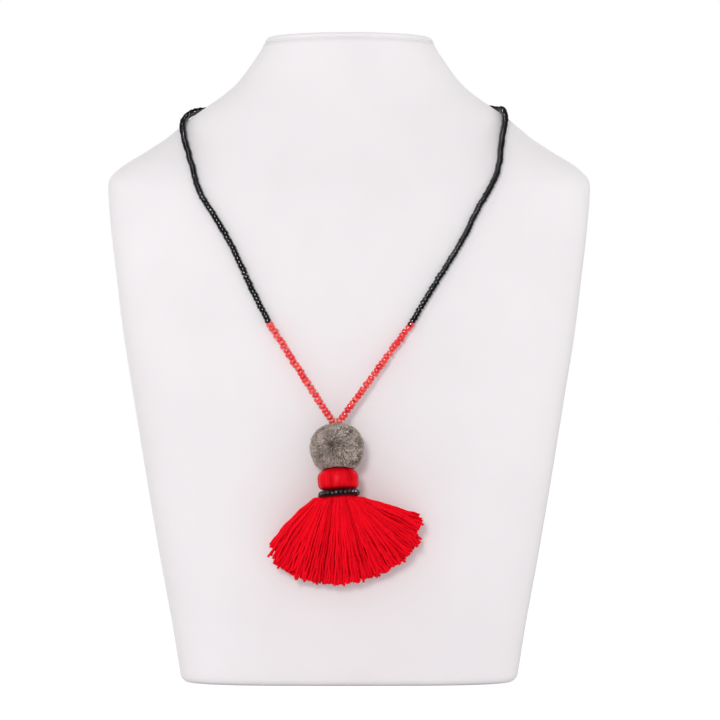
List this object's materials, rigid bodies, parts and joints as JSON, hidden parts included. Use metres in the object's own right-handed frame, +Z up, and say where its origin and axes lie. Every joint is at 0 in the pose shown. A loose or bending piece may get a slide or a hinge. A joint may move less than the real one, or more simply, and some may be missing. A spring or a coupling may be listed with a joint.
{
  "type": "tassel necklace on a neck bust",
  "caption": "Seed-bead necklace with a plush ball, a yarn-wound head and a fanned yarn tassel, worn by a plain display bust that stands on its flat base.",
  "frame": {"origin": "centre of the bust's flat base, on the surface that it stands on", "axes": "+Z up, -Y the way the chest and pendant face, +X to the right seen from the front"},
  "size_m": [0.222, 0.1305, 0.296],
  "materials": {
    "bust_leatherette": "matte white coated leatherette with a fine pebble grain",
    "black_beads": "opaque black seed beads, glossy",
    "coral_beads": "opaque coral-red seed beads, glossy",
    "clasp_brass": "polished plated brass",
    "thread_cotton": "twisted cotton beading thread",
    "pompom_pile": "dense short curled pile",
    "head_yarn": "silky rayon yarn wound over a ball",
    "tassel_yarn": "soft twisted cotton yarn with cut ends"
  },
  "bodies": {
    "root": {"display_bust": "bust_leatherette", "black_string_left": "black_beads", "black_string_right": "black_beads", "coral_string": "coral_beads", "clasp": "clasp_brass", "pendant_thread": "thread_cotton", "pompom": "pompom_pile", "tassel_head": "head_yarn", "neck_bead_ring": "black_beads", "tassel_skirt": "tassel_yarn"}
  },
  "joints": []
}
